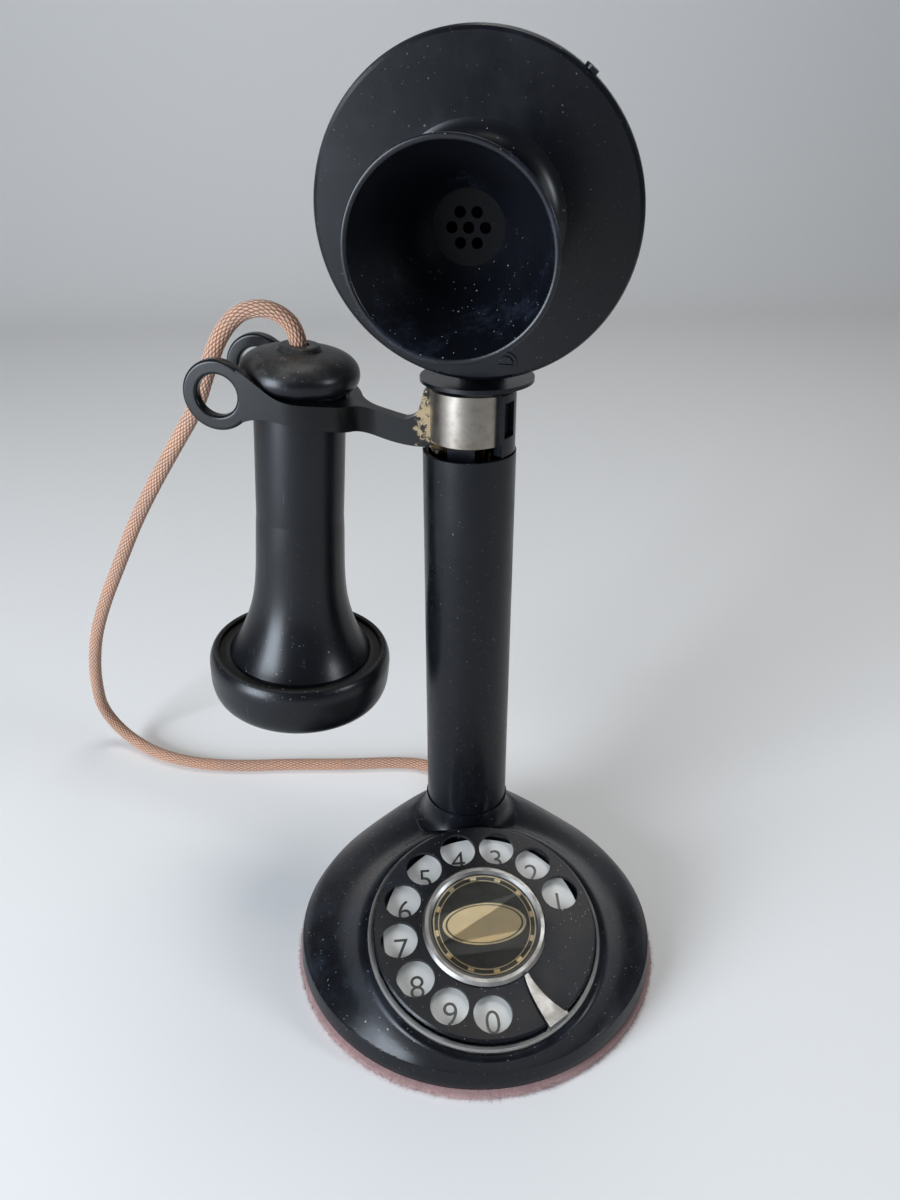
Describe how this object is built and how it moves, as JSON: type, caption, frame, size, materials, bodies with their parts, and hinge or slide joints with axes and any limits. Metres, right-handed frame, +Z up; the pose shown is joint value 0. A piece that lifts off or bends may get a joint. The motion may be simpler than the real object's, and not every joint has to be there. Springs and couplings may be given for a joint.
{
  "type": "desk telephone",
  "caption": "Upright desk telephone: domed base with a tilted rotary dial, round stem, tilting transmitter with a flared mouthpiece, and a corded receiver hung on a forked hook.",
  "frame": {"origin": "centre of the round base on the table", "axes": "+Z up, -Y towards the dial and the mouthpiece, -X towards the hook and the receiver"},
  "size_m": [0.2355, 0.2103, 0.2999],
  "materials": {
    "black_enamel": "gloss black japan, lightly dusty",
    "hard_rubber": "polished black hard rubber",
    "nickel": "worn nickel plate",
    "aged_nickel": "worn nickel plate with brass showing through",
    "white_enamel": "white vitreous enamel with black numerals",
    "card": "dark card with cream lines",
    "clear_sheet": "clear sheet",
    "felt": "mauve felt",
    "steel": "plain steel",
    "brass": "plain brass",
    "fibre": "red insulating fibre",
    "grommet_rubber": "black rubber",
    "cotton_cord": "braided tan cotton"
  },
  "bodies": {
    "stand": {"base_shell": "black_enamel", "base_plate": "black_enamel", "base_felt": "felt", "base_screws": "steel", "cord_grommet": "grommet_rubber", "terminal_block": "fibre", "terminal_screws": "brass", "stem_tube": "black_enamel", "stem_nut": "steel", "dial_cup": "black_enamel", "dial_bezel": "nickel", "number_plate": "white_enamel", "governor_cup": "brass", "dial_frame": "steel", "return_spring": "steel", "pulse_springs": "brass", "pulse_spring_block": "fibre", "finger_stop": "nickel", "neck_frame": "black_enamel", "neck_screws": "steel", "hook_pin": "steel", "neck_sleeve": "nickel", "hook_springs": "brass", "spring_insulators": "fibre", "spring_screws": "steel", "neck_flange": "black_enamel", "tilt_screw": "steel", "cord_lower": "cotton_cord"},
    "dial": {"finger_wheel": "black_enamel", "card_ring": "nickel", "number_card": "card", "card_window": "clear_sheet", "wheel_nut": "steel", "dial_shaft": "steel", "main_gear": "brass"},
    "pulse_arbor": {"intermediate_gear": "brass", "pulse_cam": "fibre"},
    "governor": {"governor_spindle": "steel", "governor_weights": "brass"},
    "hook": {"hook_lever": "aged_nickel"},
    "transmitter": {"faceplate": "black_enamel", "mouthpiece": "hard_rubber", "mouthpiece_grille": "hard_rubber", "faceplate_screws": "black_enamel", "transmitter_diaphragm": "steel", "diaphragm_gasket": "grommet_rubber", "carbon_button": "brass", "transmitter_bridge": "brass", "bridge_screws": "steel", "transmitter_lug": "black_enamel", "transmitter_cup": "black_enamel"},
    "receiver": {"receiver_knob": "hard_rubber", "receiver_shell": "hard_rubber", "receiver_cap": "hard_rubber", "receiver_diaphragm": "steel", "receiver_magnet": "steel", "receiver_coils": "fibre", "receiver_terminals": "fibre", "cord_upper": "cotton_cord"}
  },
  "joints": [
    {"name": "dial_turn", "type": "hinge", "parent": "stand", "child": "dial", "pos_m": [0, -0.0251, 0.0343], "axis": [0, -0.3049, 0.9524], "range_deg": [-311.5, 0], "stiffness_Nm_per_rad": 0.004, "springref_deg": 85.94},
    {"name": "pulse_arbor_turn", "type": "hinge", "parent": "stand", "child": "pulse_arbor", "pos_m": [0, -0.0011, 0.04198], "axis": [0, -0.3049, 0.9524], "range_deg": [0, 1869]},
    {"name": "governor_turn", "type": "hinge", "parent": "stand", "child": "governor", "pos_m": [0.00882, -0.01266, 0.03828], "axis": [0, -0.3049, 0.9524], "range_deg": [-7476, 0]},
    {"name": "receiver_lift", "type": "slide", "parent": "stand", "child": "receiver", "axis": [0.0734, -0.0206, 0.9971], "range_m": [0, 0.02]},
    {"name": "hook_lift", "type": "hinge", "parent": "stand", "child": "hook", "pos_m": [-0.00241, 0.03047, 0.197], "axis": [0.2699, 0.9629, 0], "range_deg": [0, 6.5]},
    {"name": "transmitter_tilt", "type": "hinge", "parent": "stand", "child": "transmitter", "pos_m": [0.0046, 0.03474, 0.212], "axis": [0.9629, -0.2699, 0], "range_deg": [-22, 2]}
  ],
  "couplings": [
    {"joint": "pulse_arbor_turn", "follows": "dial_turn", "ratio": -6},
    {"joint": "governor_turn", "follows": "dial_turn", "ratio": 24},
    {"joint": "hook_lift", "follows": "receiver_lift", "rad_per_m": 5.67}
  ]
}
